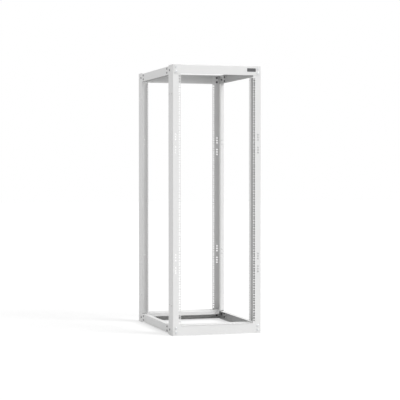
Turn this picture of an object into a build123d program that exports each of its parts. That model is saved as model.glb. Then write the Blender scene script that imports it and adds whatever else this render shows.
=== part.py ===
"""Four post open frame rack, 33 units high, bent from sheet steel and bolted together.

The origin is at the middle of the footprint, on the floor. +Z is up and the front faces -Y.
Every post has one section: a mounting flange with the square unit holes, a side web, an inward
flange and a lip that runs back along the bay. Beams lie over the ends of the posts at the front
and the rear, channels join the posts at the sides, and a plate inside each corner laps the post
and the channel.
"""

import os

from build123d import *

# The space for equipment, counted in rack units of three square holes each
rack_units = 33
unit_height = 44.45
unit_hole_heights = (6.35, 22.225, 38.1)
unit_hole_size = 9.5
base_margin = 68.0
head_margin = 62.15

# Overall size
rack_width = 550.0
rack_depth = 800.0
rack_height = base_margin + rack_units * unit_height + head_margin

# Post section: widths across, and depths back from the mounting face
post_sheet = 1.5
flange_width = 50.0
unit_hole_edge = 7.55
web_depth = 92.0
lip_inset = 30.0
lip_depth = 124.0
bend_inside = 2.0
bend_outside = bend_inside + post_sheet

# Accessory holes in the posts: groups of two triples, and plain holes through the side web
accessory_hole = 9.0
accessory_inset = 19.0
accessory_group_units = (8, 24)
triple_pitch = 15.875
triple_spacing = 76.2
web_hole_diameter = 11.0
web_hole_depths = (25.0, 75.0)
web_hole_margin = 109.0

# Front and rear beams: the bottom ones have a deep top flange with a lip, the top ones a shorter one
beam_sheet = 2.0
beam_height = 60.0
beam_end_inset = 9.0
beam_lip = 24.0
top_beam_height = 54.5
top_beam_flange = 50.0
beam_bend_outside = bend_inside + beam_sheet

# Side channels: the middle of the bottom ones above the floor, and of the top ones below the top
channel_sheet = 1.5
channel_height = 50.0
channel_flange = 28.0
bottom_channel_rise = 32.0
top_channel_drop = 30.0
channel_bend_outside = bend_inside + channel_sheet

# Plates that lap each post and side channel, from inside the mounting flange to past the joint
splice_sheet = 3.0
splice_start = 6.0
splice_reach = 68.0

# Fits
notch_clearance = 2.0
beam_clearance = 1.0

# Places that several pieces share
half_width = rack_width / 2
half_depth = rack_depth / 2
mounting_face = -half_depth + beam_sheet
web_end = mounting_face + web_depth
joint = web_end - bend_outside
splice_front = mounting_face + splice_start
splice_length = joint + splice_reach - splice_front
bay_top = rack_height - head_margin
top_level = rack_height - top_beam_height
unit_column = half_width - flange_width + unit_hole_edge
accessory_column = half_width - accessory_inset
beam_half_length = half_width - beam_end_inset
beam_half_opening = half_width - flange_width - beam_clearance
beam_lip_half_length = half_width - channel_flange - beam_clearance
ear_half_length = half_width - post_sheet - beam_clearance
ear_front = mounting_face + post_sheet + beam_clearance
notch_height = beam_height + notch_clearance
unit_levels = [
    base_margin + unit * unit_height + height
    for unit in range(rack_units)
    for height in unit_hole_heights
]
accessory_levels = [
    base_margin + units * unit_height + triple * triple_spacing / 2 + step * triple_pitch
    for units in accessory_group_units
    for triple in (-1, 1)
    for step in (-1, 0, 1)
]
web_hole_points = [
    (mounting_face + depth, level)
    for depth in web_hole_depths
    for level in (base_margin + web_hole_margin, bay_top - web_hole_margin)
]


def make_post():
    """The front right post: its section drawn up to full height, then notched and punched."""
    with BuildPart() as post:
        with BuildSketch():
            with BuildLine():
                FilletPolyline(
                    (half_width - flange_width, mounting_face),
                    (half_width, mounting_face),
                    (half_width, web_end),
                    (half_width - lip_inset, web_end),
                    (half_width - lip_inset, mounting_face + lip_depth),
                    radius=(bend_outside, bend_outside, bend_inside),
                )
                offset(amount=post_sheet, side=Side.LEFT)
            make_face()
        extrude(amount=rack_height)
        # The inward flange and the lip stop short of the side channels
        for notch_bottom in (0, rack_height - notch_height):
            with BuildSketch(Plane.XY.offset(notch_bottom)):
                with Locations((half_width, joint)):
                    Rectangle(rack_width, lip_depth, align=(Align.MAX, Align.MIN))
            extrude(amount=notch_height, mode=Mode.SUBTRACT)
        # Square holes in the mounting flange
        with BuildSketch(Plane.XZ.offset(-mounting_face)):
            with Locations(*[(unit_column, level) for level in unit_levels]):
                Rectangle(unit_hole_size, unit_hole_size)
            with Locations(*[(accessory_column, level) for level in accessory_levels]):
                Rectangle(accessory_hole, accessory_hole)
        extrude(amount=-post_sheet, mode=Mode.SUBTRACT)
        # Round holes through the side web
        with BuildSketch(Plane.YZ.offset(half_width)):
            with Locations(*web_hole_points):
                Circle(web_hole_diameter / 2)
        extrude(amount=-post_sheet, mode=Mode.SUBTRACT)
    return post


def make_ears(back, height):
    """A beam's top flange behind the mounting flanges, wide enough to cover the insides of the posts."""
    with BuildPart() as ears:
        with BuildSketch(Plane.XY.offset(height)):
            with Locations((0, ear_front)):
                Rectangle(2 * ear_half_length, back - ear_front, align=(Align.CENTER, Align.MIN))
        extrude(amount=-beam_sheet)
    return ears.part


def make_web_ends(bottom, top):
    """A beam's flat web with its full length, which bolts on over the mounting flanges of the posts."""
    with BuildPart() as ends:
        with BuildSketch(Plane.XZ.offset(half_depth)):
            with Locations((0, bottom)):
                Rectangle(2 * beam_half_length, top - bottom, align=(Align.CENTER, Align.MIN))
        extrude(amount=-beam_sheet)
    return ends.part


def make_bottom_beam():
    """The front bottom beam: a web, a deep top flange over the corners, and a lip between the channels."""
    back = joint - beam_clearance
    with BuildPart() as beam:
        with BuildSketch(Plane.YZ):
            with BuildLine():
                FilletPolyline(
                    (-half_depth, 0),
                    (-half_depth, beam_height),
                    (back, beam_height),
                    (back, beam_height - beam_lip),
                    radius=beam_bend_outside,
                )
                offset(amount=beam_sheet, side=Side.RIGHT)
            make_face()
        extrude(amount=beam_lip_half_length, both=True)
        # Past the opening, the fold between the web and the flange makes room for the posts
        with BuildSketch(Plane.XY):
            for side, align in ((1, Align.MIN), (-1, Align.MAX)):
                with Locations((side * beam_half_opening, -half_depth)):
                    Rectangle(flange_width, ear_front + half_depth, align=(align, Align.MIN))
        extrude(amount=beam_height, mode=Mode.SUBTRACT)
        add(make_ears(back - beam_bend_outside, beam_height))
        add(make_web_ends(0, beam_height - beam_bend_outside))
    return beam


def make_top_beam():
    """The front top beam: a web and a top flange that reaches over the corners."""
    flange_end = -half_depth + top_beam_flange
    with BuildPart() as beam:
        with BuildSketch(Plane.YZ):
            with BuildLine():
                FilletPolyline(
                    (-half_depth, top_level),
                    (-half_depth, rack_height),
                    (flange_end, rack_height),
                    radius=beam_bend_outside,
                )
                offset(amount=beam_sheet, side=Side.RIGHT)
            make_face()
        extrude(amount=beam_half_opening, both=True)
        add(make_ears(flange_end, rack_height))
        add(make_web_ends(top_level, rack_height - beam_bend_outside))
    return beam


def make_channel(middle):
    """The right side channel about one height, between the webs of the front and rear posts."""
    low = middle - channel_height / 2
    high = middle + channel_height / 2
    with BuildPart() as channel:
        with BuildSketch(Plane.XZ):
            with BuildLine():
                FilletPolyline(
                    (half_width - channel_flange, low),
                    (half_width, low),
                    (half_width, high),
                    (half_width - channel_flange, high),
                    radius=channel_bend_outside,
                )
                offset(amount=channel_sheet, side=Side.LEFT)
            make_face()
        extrude(amount=-joint, both=True)
    return channel


def make_splice(middle):
    """The front right plate about one height, inside the post's web and the channel's web."""
    with BuildPart() as splice:
        with BuildSketch(Plane.YZ.offset(half_width - post_sheet)):
            with Locations((splice_front, middle)):
                Rectangle(
                    splice_length,
                    channel_height - 2 * channel_bend_outside,
                    align=(Align.MIN, Align.CENTER),
                )
        extrude(amount=-splice_sheet)
    return splice


def save(piece, name):
    """Labels a finished piece and writes it as one STEP file."""
    piece.part.label = name
    export_step(piece.part, f"parts/{name}.step")


def save_mirrored(piece, about, name):
    """Writes the mirror image of a piece under its own name and returns it."""
    with BuildPart() as image:
        mirror(piece.part, about=about)
    save(image, name)
    return image


def save_pair(piece, about, names):
    """Writes a piece and its mirror image."""
    save(piece, names[0])
    save_mirrored(piece, about, names[1])


def save_four(front_right, name):
    """Writes a corner piece and its three mirror images, one for each corner."""
    save_pair(front_right, Plane.XZ, (f"front_right_{name}", f"rear_right_{name}"))
    front_left = save_mirrored(front_right, Plane.YZ, f"front_left_{name}")
    save_mirrored(front_left, Plane.XZ, f"rear_left_{name}")


os.makedirs("parts", exist_ok=True)

save_four(make_post(), "post")
save_pair(make_bottom_beam(), Plane.XZ, ("front_bottom_beam", "rear_bottom_beam"))
save_pair(make_top_beam(), Plane.XZ, ("front_top_beam", "rear_top_beam"))
for level_name, middle in (("bottom", bottom_channel_rise), ("top", rack_height - top_channel_drop)):
    save_pair(
        make_channel(middle),
        Plane.YZ,
        (f"right_{level_name}_channel", f"left_{level_name}_channel"),
    )
    save_four(make_splice(middle), f"{level_name}_splice")
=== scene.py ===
# %% [markdown]
# # Four post open frame rack
#
# The rack is folded from sheet steel, powder coated light grey and bolted together. This lesson
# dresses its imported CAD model. The beams, side channels and corner plates keep their CAD solids and
# get paint. The posts are made again as folded sheets with every punched hole. The bolts, the nuts, a
# nosing on each bottom beam and a blank plate are added. Places are in metres in the frame of the CAD
# model: +Z is up, the front faces -Y and the floor is at Z = 0.

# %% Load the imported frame
import math

import bpy
import numpy as np
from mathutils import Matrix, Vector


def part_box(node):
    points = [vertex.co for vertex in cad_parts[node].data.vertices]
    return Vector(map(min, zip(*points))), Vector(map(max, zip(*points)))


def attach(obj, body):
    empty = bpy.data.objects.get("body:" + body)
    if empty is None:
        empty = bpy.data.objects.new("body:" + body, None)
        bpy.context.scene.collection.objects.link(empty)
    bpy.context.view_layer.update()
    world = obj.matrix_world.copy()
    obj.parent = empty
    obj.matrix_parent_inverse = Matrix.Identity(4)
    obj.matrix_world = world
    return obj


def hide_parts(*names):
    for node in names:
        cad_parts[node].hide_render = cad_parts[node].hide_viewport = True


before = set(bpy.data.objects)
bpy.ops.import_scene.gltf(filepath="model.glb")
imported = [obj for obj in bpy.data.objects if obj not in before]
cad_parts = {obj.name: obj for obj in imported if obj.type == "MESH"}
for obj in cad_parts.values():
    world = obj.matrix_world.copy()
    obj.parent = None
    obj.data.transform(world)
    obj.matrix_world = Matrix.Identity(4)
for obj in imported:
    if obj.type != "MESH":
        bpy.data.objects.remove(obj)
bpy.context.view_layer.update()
MM = 0.001

# %% [markdown]
# ## Camera
#
# A rack is a calibration target by itself: its square holes have a standard pitch and its columns a
# standard spacing. A camera solved from the hole rows of four posts gives the place, the turn, the
# tilt and the focal length in pixels, so no shift or trial framing is needed.

# %% Camera
PHOTO_SIDE = 400
FOCAL_PIXELS = 1263.0
CAMERA_PLACE = (-2.312, -7.521, 0.972)
CAMERA_TURN = math.radians(17.2)
CAMERA_TILT = math.radians(1.32)

camera_data = bpy.data.cameras.new("camera")
camera_data.sensor_width = 36.0
camera_data.lens = camera_data.sensor_width * FOCAL_PIXELS / PHOTO_SIDE
camera = bpy.data.objects.new("camera", camera_data)
camera.location = CAMERA_PLACE
camera.rotation_euler = (math.pi / 2 - CAMERA_TILT, 0, -CAMERA_TURN)
bpy.context.scene.collection.objects.link(camera)
bpy.context.scene.camera = camera
print("lens in millimetres:", round(camera_data.lens, 2))

# %% [markdown]
# ## Meshes from arrays
#
# Every new piece here is an array of points and an array of faces. One helper turns them into an
# object: it drops the points that no face uses, shades the bends smooth and keeps corners sharper
# than a bend step crisp.

# %% Make a piece from arrays
SHARP_ANGLE = math.radians(32)


def make_piece(name, points, faces, material, slot):
    """A mesh object at the origin, from points (n, 3) and faces (rows of three or four indices)."""
    used, renumbered = np.unique(np.concatenate([f.ravel() for f in faces]), return_inverse=True)
    rows = np.split(renumbered, np.cumsum([f.size for f in faces])[:-1])
    polygons = [row for flat, f in zip(rows, faces) for row in flat.reshape(f.shape).tolist()]
    mesh = bpy.data.meshes.new(name)
    mesh.from_pydata(points[used].tolist(), [], polygons)
    mesh.polygons.foreach_set("use_smooth", np.ones(len(polygons), bool))
    mesh.set_sharp_from_angle(angle=SHARP_ANGLE)
    mesh.materials.append(material)
    piece = bpy.data.objects.new(name, mesh)
    bpy.context.scene.collection.objects.link(piece)
    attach(piece, "root")
    print(f"{name}: {len(used)} points, {len(polygons)} faces")
    return piece


# %% [markdown]
# ## Shared surface effects
#
# Paint and plating both show the same two things up close: a fine skin, as small waves in the coat,
# and faint clouds where the coat is a little thicker. Both are noise on Object coordinates, so they
# stay on the piece. They live in one node group, and each finish sets its own sizes.

# %% Node group: coat skin
def add_node(tree, kind, inputs=None, **settings):
    """A node of one kind, with its settings and the default values of its inputs."""
    node = tree.nodes.new(kind)
    for key, value in settings.items():
        setattr(node, key, value)
    for key, value in (inputs or {}).items():
        node.inputs[key].default_value = value
    return node


def make_coat_skin():
    """Height and Cloud from a position: noise at the size of the skin and at the size of the clouds."""
    group = bpy.data.node_groups.new("coat_skin", "ShaderNodeTree")
    for name, socket in (("Position", "NodeSocketVector"), ("Skin Size", "NodeSocketFloat"),
                         ("Cloud Size", "NodeSocketFloat")):
        group.interface.new_socket(name, in_out="INPUT", socket_type=socket)
    for name in ("Height", "Cloud"):
        group.interface.new_socket(name, in_out="OUTPUT", socket_type="NodeSocketFloat")
    entry = add_node(group, "NodeGroupInput")
    leave = add_node(group, "NodeGroupOutput")
    link = group.links.new
    for size, detail, output in (("Skin Size", 2.0, "Height"), ("Cloud Size", 3.0, "Cloud")):
        scale = add_node(group, "ShaderNodeMath", {0: 1.0}, operation="DIVIDE")
        noise = add_node(group, "ShaderNodeTexNoise", {"Detail": detail, "Roughness": 0.55})
        link(entry.outputs[size], scale.inputs[1])
        link(entry.outputs["Position"], noise.inputs["Vector"])
        link(scale.outputs[0], noise.inputs["Scale"])
        link(noise.outputs["Fac"], leave.inputs[output])
    return group


coat_skin = make_coat_skin()
print("coat skin sockets:", [s.name for s in coat_skin.interface.items_tree])

# %% [markdown]
# ## Finishes
#
# The frame has a light grey powder coat: a rough, slightly orange-peeled paint with next to no
# gloss. The folds of the posts, the insides of the top beams and channels, the undersides of the
# channels and the corner plates get darker copies of this paint, which are painted shade. Their tones
# are matched to the photo. Bolt heads are zinc plated and bright on the beams. The side bolts look dull
# because a darker copy of the zinc is painted shade there. Nuts and bolt ends have black phosphate,
# and the blank plate is a dark satin enamel.

# %% Finish builder
# A Mix node has sockets for each kind of value: these are the places of its factor and its colours
FACTOR, FIRST, SECOND, MIXED = 0, 6, 7, 2


def mix_colours(tree, first, second):
    """A Mix node between two colours."""
    return add_node(tree, "ShaderNodeMix", {FIRST: (*first, 1.0), SECOND: (*second, 1.0)}, data_type="RGBA")


def make_finish(name, low, high, rough, skin, cloud, bump, bump_depth, metallic=0.0, ior=1.45, painted_shade=None):
    """A coat whose colour and roughness drift between two values with the clouds, over a fine skin.

    Given a shade colour and two distances from the middle plane X = 0, the colour fades to that painted
    shade from the first distance to the second.
    """
    material = bpy.data.materials.new(name)
    material.use_nodes = True
    tree = material.node_tree
    link = tree.links.new
    shader = tree.nodes["Principled BSDF"]
    shader.inputs["Metallic"].default_value = metallic
    shader.inputs["IOR"].default_value = ior
    place = add_node(tree, "ShaderNodeTexCoord")
    coat = add_node(tree, "ShaderNodeGroup", {"Skin Size": skin, "Cloud Size": cloud}, node_tree=coat_skin)
    link(place.outputs["Object"], coat.inputs["Position"])
    tone = mix_colours(tree, low, high)
    link(coat.outputs["Cloud"], tone.inputs[FACTOR])
    if painted_shade:
        colour, start, end = painted_shade
        axes = add_node(tree, "ShaderNodeSeparateXYZ")
        away = add_node(tree, "ShaderNodeMath", operation="ABSOLUTE")
        depth = add_node(tree, "ShaderNodeMapRange", {"From Min": start, "From Max": end},
                         interpolation_type="SMOOTHSTEP")
        link(place.outputs["Object"], axes.inputs["Vector"])
        link(axes.outputs["X"], away.inputs[0])
        link(away.outputs[0], depth.inputs["Value"])
        unshaded_tone = tone
        tone = mix_colours(tree, low, colour)
        link(depth.outputs["Result"], tone.inputs[FACTOR])
        link(unshaded_tone.outputs[MIXED], tone.inputs[FIRST])
    link(tone.outputs[MIXED], shader.inputs["Base Color"])
    gloss = add_node(tree, "ShaderNodeMapRange", {"To Min": rough[0], "To Max": rough[1]})
    link(coat.outputs["Cloud"], gloss.inputs["Value"])
    link(gloss.outputs["Result"], shader.inputs["Roughness"])
    relief = add_node(tree, "ShaderNodeBump", {"Strength": bump, "Distance": bump_depth})
    link(coat.outputs["Height"], relief.inputs["Height"])
    link(relief.outputs["Normal"], shader.inputs["Normal"])
    return material


# %% The finishes
PAINT_COAT = {"skin": 0.0016, "cloud": 0.09, "bump": 0.25, "bump_depth": 0.0002}
PLATING = {"skin": 0.0009, "cloud": 0.006, "bump": 0.12, "bump_depth": 0.0001, "metallic": 1.0}
# Painted shade in a post's fold darkens towards the side web, between two distances from the middle plane
FOLD_SHADE = (0.18, 0.18, 0.18)
FOLD_FADE = (0.254, 0.260)

frame_paint = make_finish("frame_paint", (0.70, 0.70, 0.697), (0.74, 0.74, 0.737), (0.48, 0.60), **PAINT_COAT)
# Painted shade inside the posts' folds, darkest by the side web
fold_painted_shade = make_finish("fold_painted_shade", (0.54, 0.54, 0.538), (0.58, 0.58, 0.578), (0.52, 0.64),
                           **PAINT_COAT, painted_shade=(FOLD_SHADE, *FOLD_FADE))
# Painted shade on the insides of the channels and on the corner plates
plate_channel_painted_shade = make_finish("plate_channel_painted_shade", (0.48, 0.48, 0.478), (0.52, 0.52, 0.518), (0.55, 0.68), **PAINT_COAT)
# Painted shade on the insides of the top beams
beam_painted_shade = make_finish("beam_painted_shade", (0.59, 0.59, 0.588), (0.63, 0.63, 0.628), (0.52, 0.64),
                                **PAINT_COAT)
# Painted shade, the darkest, on the undersides of the channels
underside_painted_shade = make_finish("underside_painted_shade", (0.27, 0.27, 0.268), (0.31, 0.31, 0.308),
                                  (0.58, 0.70), **PAINT_COAT)
# Painted shade on the side bolts: a darker copy of the zinc below
fastener_painted_shade = make_finish("fastener_painted_shade", (0.20, 0.20, 0.205), (0.30, 0.30, 0.305), (0.34, 0.48),
                            **PLATING)
fastener_zinc = make_finish("fastener_zinc", (0.60, 0.61, 0.62), (0.72, 0.73, 0.74), (0.24, 0.38), **PLATING)
fastener_black = make_finish("fastener_black", (0.085, 0.085, 0.09), (0.115, 0.115, 0.12), (0.45, 0.62),
                             skin=0.0008, cloud=0.005, bump=0.20, bump_depth=0.0001)
plate_enamel = make_finish("plate_enamel", (0.085, 0.085, 0.09), (0.12, 0.12, 0.125), (0.30, 0.42),
                           skin=0.0010, cloud=0.010, bump=0.10, bump_depth=0.0001)
finishes = (frame_paint, fold_painted_shade, plate_channel_painted_shade, beam_painted_shade, underside_painted_shade,
            fastener_painted_shade, fastener_zinc, fastener_black, plate_enamel)
print("finishes:", [finish.name for finish in finishes])

# %% [markdown]
# ## Paint on the CAD solids
#
# The beams, channels and corner plates are already the right folded shapes, so they keep their CAD
# meshes and only get the paint. The outer web of a channel or a top beam, the top of its upper flange
# and its ends keep the plain paint. A face's normal and height tell which of these it is. The other
# faces get darker paint that is painted shade, as the corner plates do, and the undersides of the
# channels get the darkest painted shade.

# %% Paint the CAD nodes
# How far a normal has to point along a direction, and how near a face lies to the top or the bottom
OUTWARD_SHARE = 0.3
FACING_SHARE = 0.5
NEAR_END = 1.0 * MM

# The corner plates get the darker paint all over, as painted shade
for name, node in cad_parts.items():
    node.data.materials.clear()
    node.data.materials.append(plate_channel_painted_shade if name.endswith("splice") else frame_paint)
print("painted CAD nodes:", len(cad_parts))


def paint_shade_inside(name, outwards, inside, underside):
    """Gives a folded piece painted shade on its inner faces, and its underside a finish of its own.

    A face keeps the plain paint where it looks outwards or along the piece, or is the top of the upper
    flange. A face looks along a direction as far as the dot product of its normal with it says.
    """
    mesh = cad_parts[name].data
    normals, centres = (np.empty((len(mesh.polygons), 3)) for _ in range(2))
    mesh.polygons.foreach_get("normal", normals.ravel())
    mesh.polygons.foreach_get("center", centres.ravel())
    low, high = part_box(name)
    lengthwise = np.cross(outwards, (0, 0, 1))
    top = (normals[:, 2] > FACING_SHARE) & (centres[:, 2] > high.z - NEAR_END)
    under = (normals[:, 2] < -FACING_SHARE) & (centres[:, 2] < low.z + NEAR_END)
    plain_faces = (normals @ outwards > OUTWARD_SHARE) | (np.abs(normals @ lengthwise) > FACING_SHARE) | top
    mesh.materials.append(inside)
    mesh.materials.append(underside)
    mesh.polygons.foreach_set("material_index", np.select([plain_faces, under], [0, 2], 1).astype(np.int32))
    # The count printed is of the faces given painted shade
    print(f"{name}: {np.count_nonzero(~plain_faces)} of {len(plain_faces)} faces out of reach")


# Channels get painted shade inside and darker painted shade underneath, top beams painted shade inside
for side_name, side in (("left", -1), ("right", 1)):
    for level in ("bottom", "top"):
        paint_shade_inside(f"{side_name}_{level}_channel", (side, 0, 0), plate_channel_painted_shade, underside_painted_shade)
for end_name, end in (("front", -1), ("rear", 1)):
    paint_shade_inside(f"{end_name}_top_beam", (0, end, 0), beam_painted_shade, frame_paint)

# %% [markdown]
# ## Posts
#
# A post is one strip of sheet folded three times: a mounting flange with the square holes, a side
# web, an inward flange and a lip along the bay with a second row of square holes. A strip like that
# is a surface of two parameters, the distance along the section and the height. If grid lines run
# along every hole's edges, a hole is simply a set of grid cells that are left out, and every edge
# between a kept cell and a missing one gets a wall as thick as the sheet.

# %% Sizes of the posts
post_low, post_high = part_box("front_right_post")
HALF_WIDTH = post_high.x
MOUNTING_FACE = post_low.y
RACK_HEIGHT = post_high.z
POST_SHEET = 1.5 * MM
FLANGE_WIDTH = 50.0 * MM
WEB_DEPTH = 92.0 * MM
LIP_INSET = 30.0 * MM
LIP_DEPTH = 124.0 * MM
BEND_OUTSIDE = 3.5 * MM
BEND_INSIDE = 2.0 * MM
NOTCH_HEIGHT = 62.0 * MM

UNIT_HEIGHT = 44.45 * MM
BASE_MARGIN = 68.0 * MM
RACK_UNITS = 33
UNIT_HOLES = np.array((6.35, 22.225, 38.1)) * MM
UNIT_HOLE = 9.5 * MM
UNIT_HOLE_EDGE = 7.55 * MM
LIP_HOLE_DEPTH = LIP_DEPTH - UNIT_HOLE_EDGE
BAY_TOP = BASE_MARGIN + RACK_UNITS * UNIT_HEIGHT
unit_levels = (BASE_MARGIN + np.arange(RACK_UNITS)[:, None] * UNIT_HEIGHT + UNIT_HOLES).ravel()

ACCESSORY_HOLE = 9.0 * MM
ACCESSORY_INSET = 19.0 * MM
TRIPLE = np.array((-15.875, 0.0, 15.875)) * MM
TRIPLE_PAIR = np.array((-38.1, 38.1)) * MM
ACCESSORY_GROUPS = BASE_MARGIN + np.array((8, 24)) * UNIT_HEIGHT
accessory_levels = (ACCESSORY_GROUPS[:, None, None] + TRIPLE_PAIR[:, None] + TRIPLE).ravel()

WEB_HOLE = 11.0 * MM
WEB_HOLE_DEPTHS = np.array((25.0, 75.0)) * MM
WEB_HOLE_MARGIN = 109.0 * MM
web_levels = np.array((BASE_MARGIN + WEB_HOLE_MARGIN, BAY_TOP - WEB_HOLE_MARGIN))

INWARD_HOLE = 7.0 * MM
INWARD_INSET = 15.0 * MM
INWARD_PAIR = np.array((9.5, 36.5)) * MM
inward_levels = (ACCESSORY_GROUPS[:, None] + INWARD_PAIR).ravel()
print("square holes in a post:", 2 * len(unit_levels) + len(accessory_levels))
print("round holes in a post:", len(WEB_HOLE_DEPTHS) * len(web_levels) + len(inward_levels))


# %% The folded section
BEND_STEPS = 6
SUPPORT = 0.7 * MM


def folded_section(corners, radii, stops):
    """Stations along a folded strip's outer line: points, left normals, run numbers and run distances.

    A straight run goes from one corner to the next, shortened by the bend radius at each end, with
    stations at its ends, close beside them, and at the run's own stops. A square bend with radius r
    turns about a centre that is r along the left normal, on the side it turns to; its points are the
    centre less r times the turning normal, which swings from one run's normal to the next one's.
    """
    corners = np.asarray(corners)
    steps = np.diff(corners, axis=0)
    lengths = np.linalg.norm(steps, axis=1)
    along = steps / lengths[:, None]
    left = np.stack([-along[:, 1], along[:, 0]], axis=1)
    turn = np.sign(along[:-1, 0] * along[1:, 1] - along[:-1, 1] * along[1:, 0])
    trims = np.concatenate([[0.0], radii, [0.0]])
    swing = np.linspace(0, np.pi / 2, BEND_STEPS + 1)[1:-1, None]
    points, normals, runs, distances = [], [], [], []
    for run, length in enumerate(lengths):
        start, end = trims[run], length - trims[run + 1]
        here = np.unique(np.concatenate([[start, start + SUPPORT, end - SUPPORT, end], stops[run]]))
        points.append(corners[run] + here[:, None] * along[run])
        normals.append(np.repeat(left[run][None], len(here), axis=0))
        runs.append(np.full(len(here), run))
        distances.append(here)
        if run < len(radii):
            side, radius = turn[run], radii[run]
            centre = points[-1][-1] + side * radius * left[run]
            turning = np.cos(swing) * left[run] - side * np.sin(swing) * along[run]
            points.append(centre - side * radius * turning)
            normals.append(turning)
            runs.append(np.full(len(swing), -1))
            distances.append(np.zeros(len(swing)))
    return tuple(np.concatenate(part) for part in (points, normals, runs, distances))


def edges_of(centres, size):
    """The two edges of each hole in a row of holes."""
    return (np.atleast_1d(centres)[:, None] + np.array((-0.5, 0.5)) * size).ravel()


FLANGE_RUN, WEB_RUN, INWARD_RUN, LIP_RUN = range(4)
unit_column = UNIT_HOLE_EDGE
accessory_column = FLANGE_WIDTH - ACCESSORY_INSET
inward_column = INWARD_INSET
lip_column = LIP_HOLE_DEPTH - WEB_DEPTH
# Points of a square's side at equal angles round its middle, 15 degrees apart
SQUARE_STEPS = np.tan(np.radians(np.arange(-45, 46, 15)))
SQUARE_SHARE = 0.8
# Heights that agree to this many digits of a metre are one grid line
HEIGHT_DIGITS = 7


def round_stops(centres, diameter):
    """Grid lines through a round hole, drawn as a smaller square whose edge is bowed out afterwards."""
    return (np.atleast_1d(centres)[:, None] + SQUARE_SHARE * diameter / 2 * SQUARE_STEPS).ravel()


section_points, section_normals, section_runs, section_distances = folded_section(
    corners=[
        (HALF_WIDTH - FLANGE_WIDTH, MOUNTING_FACE),
        (HALF_WIDTH, MOUNTING_FACE),
        (HALF_WIDTH, MOUNTING_FACE + WEB_DEPTH),
        (HALF_WIDTH - LIP_INSET, MOUNTING_FACE + WEB_DEPTH),
        (HALF_WIDTH - LIP_INSET, MOUNTING_FACE + LIP_DEPTH),
    ],
    radii=[BEND_OUTSIDE, BEND_OUTSIDE, BEND_INSIDE],
    stops=[
        np.concatenate([edges_of(unit_column, UNIT_HOLE), edges_of(accessory_column, ACCESSORY_HOLE)]),
        round_stops(WEB_HOLE_DEPTHS, WEB_HOLE),
        round_stops(inward_column, INWARD_HOLE),
        edges_of(lip_column, UNIT_HOLE),
    ],
)
post_heights = np.unique(np.round(np.concatenate([
    [0.0, NOTCH_HEIGHT, RACK_HEIGHT - NOTCH_HEIGHT, RACK_HEIGHT],
    edges_of(unit_levels, UNIT_HOLE),
    edges_of(accessory_levels, ACCESSORY_HOLE),
    round_stops(web_levels, WEB_HOLE),
    round_stops(inward_levels, INWARD_HOLE),
]), HEIGHT_DIGITS))
print("stations along the section:", len(section_points), "and up the post:", len(post_heights))


# %% The perforated sheet
EDGE_TOLERANCE = 1e-6
SHORTEST = 1e-9


def near_any(values, centres, size):
    """True where a value is within half a size of any of the centres."""
    return (np.abs(values[:, None] - np.atleast_1d(centres)) < size / 2).any(axis=1)


def perforated_sheet(outer, inner, solid):
    """Points and faces of a sheet whose kept cells are True in solid.

    A kept cell is a quad on the outer grid and one, turned round, on the inner grid. Where two
    neighbouring cells differ, a wall joins the grids along their shared edge, facing the missing cell.
    """
    across, up = outer.shape[:2]
    front = np.arange(across * up).reshape(across, up)
    back = front + across * up
    i, j = np.nonzero(solid)
    faces = [
        np.stack([front[i, j], front[i + 1, j], front[i + 1, j + 1], front[i, j + 1]], axis=1),
        np.stack([back[i, j], back[i, j + 1], back[i + 1, j + 1], back[i + 1, j]], axis=1),
    ]
    padded = np.pad(solid, 1).astype(int)
    change = np.diff(padded, axis=0)[:, 1:-1]
    for sign in (1, -1):
        i, j = np.nonzero(change == -sign)
        wall = np.stack([front[i, j], back[i, j], back[i, j + 1], front[i, j + 1]], axis=1)
        faces.append(wall[:, ::sign])
    change = np.diff(padded, axis=1)[1:-1, :]
    for sign in (1, -1):
        i, j = np.nonzero(change == -sign)
        wall = np.stack([front[i, j], front[i + 1, j], back[i + 1, j], back[i, j]], axis=1)
        faces.append(wall[:, ::sign])
    return np.concatenate([outer.reshape(-1, 3), inner.reshape(-1, 3)]), faces


def bow_to_circle(strip, centre, diameter, plane):
    """Moves the edge points of a square hole along their own direction from its middle onto a circle."""
    offset = strip[..., plane] - centre
    reach = np.abs(offset).max(axis=-1)
    on_edge = np.isclose(reach, SQUARE_SHARE * diameter / 2, atol=EDGE_TOLERANCE)
    length = np.linalg.norm(offset, axis=-1, keepdims=True)
    bowed = centre + offset * diameter / 2 / np.maximum(length, SHORTEST)
    strip[..., plane] = np.where(on_edge[..., None], bowed, strip[..., plane])


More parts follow.
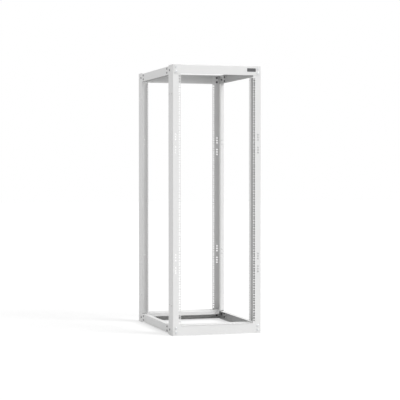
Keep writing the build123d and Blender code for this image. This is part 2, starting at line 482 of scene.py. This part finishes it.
def make_post_grid():
    """The front right post: outer and inner point grids, and which cells are solid."""
    flat = section_points[:, None, :].repeat(len(post_heights), axis=1)
    heights = np.broadcast_to(post_heights, flat.shape[:2])
    outer = np.concatenate([flat, heights[..., None]], axis=2)
    inner = outer.copy()
    inner[..., :2] += POST_SHEET * section_normals[:, None, :]

    same_run = section_runs[:-1] == section_runs[1:]
    cell_run = np.where(same_run, section_runs[:-1], -1)
    cell_distance = (section_distances[:-1] + section_distances[1:]) / 2
    cell_height = (post_heights[:-1] + post_heights[1:]) / 2
    solid = np.ones((len(cell_run), len(cell_height)), bool)
    for run, column, size, levels in (
        (FLANGE_RUN, unit_column, UNIT_HOLE, unit_levels),
        (FLANGE_RUN, accessory_column, ACCESSORY_HOLE, accessory_levels),
        (LIP_RUN, lip_column, UNIT_HOLE, unit_levels),
        (WEB_RUN, WEB_HOLE_DEPTHS, SQUARE_SHARE * WEB_HOLE, web_levels),
        (INWARD_RUN, inward_column, SQUARE_SHARE * INWARD_HOLE, inward_levels),
    ):
        in_column = (cell_run == run) & near_any(cell_distance, column, size)
        solid[np.ix_(in_column, near_any(cell_height, levels, size))] = False

    # Past the web's end the strip is notched for the side channels
    web_end = np.nonzero(section_runs == WEB_RUN)[0][-1]
    at_ends = (cell_height < NOTCH_HEIGHT) | (cell_height > RACK_HEIGHT - NOTCH_HEIGHT)
    solid[web_end:, at_ends] = False

    round_holes = [(WEB_RUN, (MOUNTING_FACE + depth, level), WEB_HOLE, [1, 2])
                   for depth in WEB_HOLE_DEPTHS for level in web_levels]
    round_holes += [(INWARD_RUN, (HALF_WIDTH - inward_column, level), INWARD_HOLE, [0, 2])
                    for level in inward_levels]
    for run, centre, diameter, plane in round_holes:
        for grid in (outer, inner):
            strip = grid[section_runs == run]
            bow_to_circle(strip, np.array(centre), diameter, plane)
            grid[section_runs == run] = strip
    return outer, inner, solid


post_grid = make_post_grid()
print("cells kept:", int(post_grid[2].sum()), "of", post_grid[2].size)

# %% Four posts by reflection
CORNERS = {"front_left": (-1, 1), "front_right": (1, 1), "rear_left": (-1, -1), "rear_right": (1, -1)}


def reflect(points, faces, side, end):
    """Mirrors a front right piece to another corner and keeps its faces outwards."""
    turned = side * end
    return points * np.array((side, end, 1.0)), [f[:, ::turned] for f in faces]


post_points, post_faces = perforated_sheet(*post_grid)
# The inner grid's quads follow the outer grid's, strip by strip along the section
quad_strips = np.nonzero(post_grid[2])[0]
web_end, inward_end = (np.nonzero(section_runs == run)[0][-1] for run in (WEB_RUN, INWARD_RUN))
in_fold = (quad_strips >= web_end) & (quad_strips < inward_end)
inside_quads = len(quad_strips) + np.nonzero(in_fold)[0]
for corner, signs in CORNERS.items():
    points, faces = reflect(post_points, post_faces, *signs)
    post = make_piece(f"{corner}_punched_post", points, faces, frame_paint, "frame_paint")
    # The faces inside the fold get the darker paint, which is painted shade
    post.data.materials.append(fold_painted_shade)
    finish_numbers = np.zeros(len(post.data.polygons), np.int32)
    finish_numbers[inside_quads] = 1
    post.data.polygons.foreach_set("material_index", finish_numbers)
    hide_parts(f"{corner}_post")

# %% [markdown]
# ## Bolts and nuts
#
# Flanged hexagon bolts hold the corners. A head is a polar surface: the angle goes round, and the
# other parameter goes down a list of rings from the middle of the top to the middle of the underside.
# Only the rings of the hexagon depend on the angle.

# %% The hexagon bolt and nut
ROUND_STEPS = 24
BOLT_FLATS = 10.0 * MM
BOLT_TOP = 3.6 * MM
FLANGE_RADIUS = 6.6 * MM
NUT_TOP = 5.2 * MM
STUD_RADIUS = 3.0 * MM
THREAD_PITCH = 1.0 * MM
THREAD_DEPTH = 0.35 * MM
STUD_PROUD = 3.0 * MM
STUD_SUNK = 1.0 * MM
STUD_TIP = 0.8 * MM
TIP_TAPER = 0.9 * MM
THREAD_RINGS = 12

# The head from its middle outwards: dish, rim, chamfer, flats, and a coned flange with a rounded edge
BOLT_DISH = 0.35 * MM
DISH_INNER = 0.28 * BOLT_FLATS
DISH_OUTER = 0.34 * BOLT_FLATS
HEAD_RIM = 0.47 * BOLT_FLATS
CHAMFER_SLOPE = math.tan(math.radians(30))
FLATS_FOOT = 2.0 * MM
CONE_STEP = 0.3 * MM
CONE_TOP = 1.6 * MM
CONE_FOOT = 1.1 * MM
EDGE_ROUND = 0.4 * MM
EDGE_TOP = 0.7 * MM
around = np.linspace(0, 2 * np.pi, ROUND_STEPS, endpoint=False)


# %% Rings of a head, a nut and a stud
def hexagon(flats):
    """The polar radius of a hexagon: half its flats over the cosine of the angle from a flat's middle."""
    from_flat = np.mod(around + np.pi / 6, np.pi / 3) - np.pi / 6
    return flats / 2 / np.cos(from_flat)


def closed_rings(rings):
    """Points and faces of a body from rings of (radius, height); the first and last ring are one point."""
    radius = np.stack([np.broadcast_to(r, around.shape) for r, _ in rings])
    height = np.stack([np.broadcast_to(h, around.shape) for _, h in rings])
    points = np.stack([radius * np.cos(around), radius * np.sin(around), height], axis=2)
    count = len(rings)
    index = np.arange(count * ROUND_STEPS).reshape(count, ROUND_STEPS)
    index[0] = index[0, 0]
    index[-1] = index[-1, 0]
    following = np.roll(index, -1, axis=1)
    quads = np.stack([index[1:-2], index[2:-1], following[2:-1], following[1:-2]], axis=2).reshape(-1, 4)
    top = np.stack([index[0], index[1], following[1]], axis=1)
    under = np.stack([index[-2], index[-1], following[-2]], axis=1)
    return points.reshape(-1, 3), [quads, top, under]


def hex_head(top, dish):
    """A flanged hexagon: a dished top, a chamfer that falls with the radius, flats and a coned flange."""
    flats = hexagon(BOLT_FLATS)
    chamfer = top - (flats - HEAD_RIM) * CHAMFER_SLOPE
    return closed_rings([
        (0.0, top - dish),
        (DISH_INNER, top - dish),
        (DISH_OUTER, top),
        (HEAD_RIM, top),
        (flats, chamfer),
        (flats, FLATS_FOOT),
        (flats + CONE_STEP, CONE_TOP),
        (FLANGE_RADIUS - EDGE_ROUND, CONE_FOOT),
        (FLANGE_RADIUS, EDGE_TOP),
        (FLANGE_RADIUS, 0.0),
        (0.0, 0.0),
    ])


def threaded_end(start, end):
    """A stud's end: its radius falls and rises once for each pitch, and the wave climbs with the angle."""
    heights = np.linspace(end - STUD_TIP, start, THREAD_RINGS)
    rings = [(0.0, end), (STUD_RADIUS - TIP_TAPER, end)]
    for height in heights:
        phase = np.mod(height / THREAD_PITCH - around / (2 * np.pi), 1.0)
        rings.append((STUD_RADIUS - THREAD_DEPTH * 2 * np.abs(phase - 0.5), height))
    return closed_rings(rings + [(0.0, start)])


# %% Join parts and stand them in place
def join(parts):
    """One set of points and faces from several, with the face indices moved up."""
    starts = np.cumsum([0] + [len(points) for points, _ in parts])
    points = np.concatenate([points for points, _ in parts])
    return points, [f + start for (_, faces), start in zip(parts, starts) for f in faces]


def stand(part, place, out):
    """Stands a part that rises along +Z on a place, rising along the outward direction instead."""
    up = np.array((0.0, 0.0, 1.0))
    axes = np.stack([up, np.cross(out, up), out])
    points, faces = part
    return points @ axes + np.asarray(place), faces


bolt_head = hex_head(BOLT_TOP, BOLT_DISH)
stud_end = threaded_end(NUT_TOP - STUD_SUNK, NUT_TOP + STUD_PROUD)
nut_and_end = join([hex_head(NUT_TOP, dish=0.0), stud_end])
print("faces in a head:", sum(len(f) for f in bolt_head[1]))
print("faces in a nut with its stud's end:", sum(len(f) for f in nut_and_end[1]))

# %% [markdown]
# Two bolts hold each end of each beam to a post's mounting flange. Three hold each corner plate: one
# through the post's web and two through the channel's web. Each bolt shows a head outside and a nut
# with the stud's end inside.

# %% Places of the bolts
HALF_DEPTH = -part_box("front_top_beam")[0].y
BEAM_BOLT_X = 254.0 * MM
BEAM_BOLT_HEIGHTS = {
    "bottom": (19.0 * MM, 45.5 * MM),
    "top": (RACK_HEIGHT - 41.7 * MM, RACK_HEIGHT - 14.9 * MM),
}
BEAM_GRIP = 3.5 * MM
PLATE_BOLTS = ((63.0 * MM, 0.0), (120.0 * MM, -12.0 * MM), (120.0 * MM, 12.0 * MM))
PLATE_GRIP = 4.5 * MM


def bolt_joint(name, places, out, grip, finish):
    """Bolt heads on the outside of a joint and nuts on its inside, at each place."""
    out = np.asarray(out)
    heads = [stand(bolt_head, place, out) for place in places]
    nuts = [stand(nut_and_end, np.asarray(place) - grip * out, -out) for place in places]
    make_piece(f"{name}_bolts", *join(heads), finish, "fastener_zinc")
    make_piece(f"{name}_nuts", *join(nuts), fastener_black, "fastener_black")


for level, heights in BEAM_BOLT_HEIGHTS.items():
    for end_name, end in (("front", -1), ("rear", 1)):
        places = [(side * BEAM_BOLT_X, end * HALF_DEPTH, height) for side in (-1, 1) for height in heights]
        bolt_joint(f"{end_name}_{level}_beam", places, (0, end, 0), BEAM_GRIP, fastener_zinc)
    # The side bolts take the darker zinc, which is painted shade
    for side_name, side in (("left", -1), ("right", 1)):
        channel_low, channel_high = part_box(f"{side_name}_{level}_channel")
        middle = (channel_low.z + channel_high.z) / 2
        places = [(side * HALF_WIDTH, end * (-MOUNTING_FACE - depth), middle + rise)
                  for end in (-1, 1) for depth, rise in PLATE_BOLTS]
        bolt_joint(f"{side_name}_{level}_channel", places, (side, 0, 0), PLATE_GRIP, fastener_painted_shade)

# %% [markdown]
# ## Nosing of the bottom beams
#
# In the photo a thin dark line runs along the upper edge of the front bottom beam, between the posts.
# An edge of the top flange that stands a little proud of the web would throw such a line. That it is
# there is a guess. It is added here, with its mirror image at the rear, as a closed profile that is
# drawn once in the plane of depth and height and carried straight along X.

# %% Nosing
NOSING_HALF = 224.0 * MM
NOSING_PROUD = 2.0 * MM
NOSING_THICK = 2.0 * MM
NOSING_ROUND = 0.6 * MM
NOSING_BACK = 4.0 * MM
NOSING_STEPS = 4


def nosing_profile(deck):
    """Depth before the beam's face and height, anticlockwise.

    Top and bottom are flat, and each front corner is a quarter circle: its middle plus the radius times
    the sine and cosine of the swing.
    """
    swing = np.linspace(0, np.pi / 2, NOSING_STEPS)
    sine, cosine = np.sin(swing), np.cos(swing)
    front, low = NOSING_PROUD - NOSING_ROUND, deck - NOSING_THICK + NOSING_ROUND
    lower = np.stack([front + NOSING_ROUND * sine, low - NOSING_ROUND * cosine], axis=1)
    upper = np.stack([front + NOSING_ROUND * cosine, deck - NOSING_ROUND * (1 - sine)], axis=1)
    return np.concatenate([[(-NOSING_BACK, deck - NOSING_THICK)], lower, upper, [(-NOSING_BACK, deck)]])


def make_nosing(end):
    """The profile at both ends of its path, joined by quads and closed by a face at each end."""
    profile = nosing_profile(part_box("front_bottom_beam")[1].z)
    count = len(profile)
    x = np.repeat((-NOSING_HALF, NOSING_HALF), count)
    y = np.tile(end * (HALF_DEPTH + profile[:, 0]), 2)
    z = np.tile(profile[:, 1], 2)
    index = np.arange(2 * count).reshape(2, count)
    following = np.roll(index, -1, axis=1)
    quads = np.stack([index[0], following[0], following[1], index[1]], axis=1)
    faces = [quads, index[0][::-1][None], index[1][None]]
    return np.stack([x, y, z], axis=1), [f[:, ::end] for f in faces]


for end_name, end in (("front", -1), ("rear", 1)):
    make_piece(f"{end_name}_bottom_beam_nosing", *make_nosing(end), frame_paint, "frame_paint")

# %% [markdown]
# ## Blank plate
#
# A small dark plate sits at the right end of the top front beam. Its outline is a rounded rectangle,
# and rings of that outline, each moved in a little, make the edge, the raised border and the field.

# %% Blank plate
PLATE_MIDDLE = (213.5 * MM, 1573.5 * MM)
PLATE_HALF = np.array((27.0, 10.0)) * MM
PLATE_CORNER = 3.0 * MM
OUTLINE_STEPS = 6
# Each ring's inset and height in millimetres: foot, edge, both sides of the border, and the field
PLATE_RINGS = ((0.0, 0.0), (0.0, 1.0), (0.4, 1.4), (1.5, 1.4), (1.8, 1.15))


def rounded_outline(half, corner):
    """A rounded rectangle, as four quarter circles about the corners of a smaller rectangle."""
    quarter = np.linspace(0, np.pi / 2, OUTLINE_STEPS)
    angle = (np.arange(4)[:, None] * np.pi / 2 + quarter).ravel()
    signs = np.repeat([(1, 1), (-1, 1), (-1, -1), (1, -1)], OUTLINE_STEPS, axis=0)
    return signs * (half - corner) + corner * np.stack([np.cos(angle), np.sin(angle)], axis=1)


def make_plate():
    """Rings of the outline from the beam's face out to the border and in to the field, then closed."""
    insets, heights = np.array(PLATE_RINGS).T * MM
    flat = np.stack([rounded_outline(PLATE_HALF - inset, PLATE_CORNER - inset) for inset in insets])
    count = flat.shape[1]
    out = -HALF_DEPTH - heights
    x = PLATE_MIDDLE[0] + flat[..., 0]
    z = PLATE_MIDDLE[1] + flat[..., 1]
    y = np.broadcast_to(out[:, None], x.shape)
    points = np.stack([x, y, z], axis=2).reshape(-1, 3)
    index = np.arange(len(points)).reshape(len(PLATE_RINGS), count)
    following = np.roll(index, -1, axis=1)
    quads = np.stack([index[:-1], following[:-1], following[1:], index[1:]], axis=2).reshape(-1, 4)
    return points, [quads, index[-1][None], index[0][::-1][None]]


make_piece("blank_plate", *make_plate(), plate_enamel, "bare_plate")

# %% [markdown]
# ## Floor and light
#
# The rack stands on a plain pale floor. A broad sun from the front right gives the front faces and the
# tops their light, and a weaker one from the rear left reaches the left faces. The world fills in from
# all sides at about six tenths of white, and the floor throws some light back from below. These levels
# are fitted to the tones of the faces in the photo. To the camera and to reflections, the world is white
# and the floor nearly so, with a light shadow of the rack on it.

# %% Floor
FLOOR_SIZE = 60.0
FLOOR_SEEN = 0.93
FLOOR_BOUNCE = 0.70
FLOOR_ROUGHNESS = 0.9
SHADOW_SHARE = 0.4


def seen_directly(tree):
    """A value of 1 for camera, glossy and transmission rays and 0 for the rays that carry light about."""
    path = add_node(tree, "ShaderNodeLightPath")
    first = add_node(tree, "ShaderNodeMath", operation="MAXIMUM")
    either = add_node(tree, "ShaderNodeMath", operation="MAXIMUM")
    tree.links.new(path.outputs["Is Camera Ray"], first.inputs[0])
    tree.links.new(path.outputs["Is Glossy Ray"], first.inputs[1])
    tree.links.new(first.outputs[0], either.inputs[0])
    tree.links.new(path.outputs["Is Transmission Ray"], either.inputs[1])
    return either.outputs[0]


def make_floor():
    """A large square sheet at Z = 0, white to look at and a plain grey for the light it throws back."""
    half = FLOOR_SIZE / 2
    mesh = bpy.data.meshes.new("floor")
    corners = [(-half, -half, 0), (half, -half, 0), (half, half, 0), (-half, half, 0)]
    mesh.from_pydata(corners, [], [(0, 1, 2, 3)])
    floor = bpy.data.objects.new("floor", mesh)
    bpy.context.scene.collection.objects.link(floor)
    material = bpy.data.materials.new("floor_paper")
    material.use_nodes = True
    tree = material.node_tree
    link = tree.links.new
    shader = tree.nodes["Principled BSDF"]
    shader.inputs["Roughness"].default_value = FLOOR_ROUGHNESS
    shader.inputs["Specular IOR Level"].default_value = 0.0
    direct = seen_directly(tree)
    tone = add_node(tree, "ShaderNodeMapRange", {"To Min": FLOOR_BOUNCE, "To Max": FLOOR_SEEN})
    link(direct, tone.inputs["Value"])
    link(tone.outputs["Result"], shader.inputs["Base Color"])
    white = add_node(tree, "ShaderNodeEmission", {"Strength": 1.0})
    share = add_node(tree, "ShaderNodeMath", {1: 1.0 - SHADOW_SHARE}, operation="MULTIPLY")
    blend = add_node(tree, "ShaderNodeMixShader")
    link(direct, share.inputs[0])
    link(share.outputs[0], blend.inputs["Fac"])
    link(shader.outputs["BSDF"], blend.inputs[1])
    link(white.outputs["Emission"], blend.inputs[2])
    link(blend.outputs["Shader"], tree.nodes["Material Output"].inputs["Surface"])
    mesh.materials.append(material)
    print("floor side in metres:", FLOOR_SIZE)


make_floor()

# %% Light
KEY_TOWARDS = np.array((0.42, -0.46, 0.60))
KEY_LEVEL = 0.73
RIM_TOWARDS = np.array((-0.20, 0.13, 0.28))
RIM_LEVEL = 0.15
SOFTNESS = math.radians(30)
WORLD_FILL = 0.59


def make_sun(name, towards, level):
    """A soft sun that stands in one direction. A level of 1 lights a facing white sheet to white."""
    data = bpy.data.lights.new(name, "SUN")
    data.energy = level * math.pi
    data.angle = SOFTNESS
    sun = bpy.data.objects.new(name, data)
    slope = math.atan2(math.hypot(towards[0], towards[1]), towards[2])
    sun.rotation_euler = (slope, 0, math.atan2(towards[0], -towards[1]))
    bpy.context.scene.collection.objects.link(sun)


make_sun("key", KEY_TOWARDS, KEY_LEVEL)
make_sun("rim", RIM_TOWARDS, RIM_LEVEL)

world = bpy.data.worlds.new("studio")
world.use_nodes = True
bpy.context.scene.world = world
tree = world.node_tree
background = tree.nodes["Background"]
background.inputs["Color"].default_value = (1.0, 1.0, 1.0, 1.0)
fill = add_node(tree, "ShaderNodeMapRange", {"To Min": WORLD_FILL, "To Max": 1.0})
tree.links.new(seen_directly(tree), fill.inputs["Value"])
tree.links.new(fill.outputs["Result"], background.inputs["Strength"])

bpy.context.scene.view_settings.view_transform = "Standard"
print("key towards:", KEY_TOWARDS, "rim towards:", RIM_TOWARDS, "world fill:", WORLD_FILL)
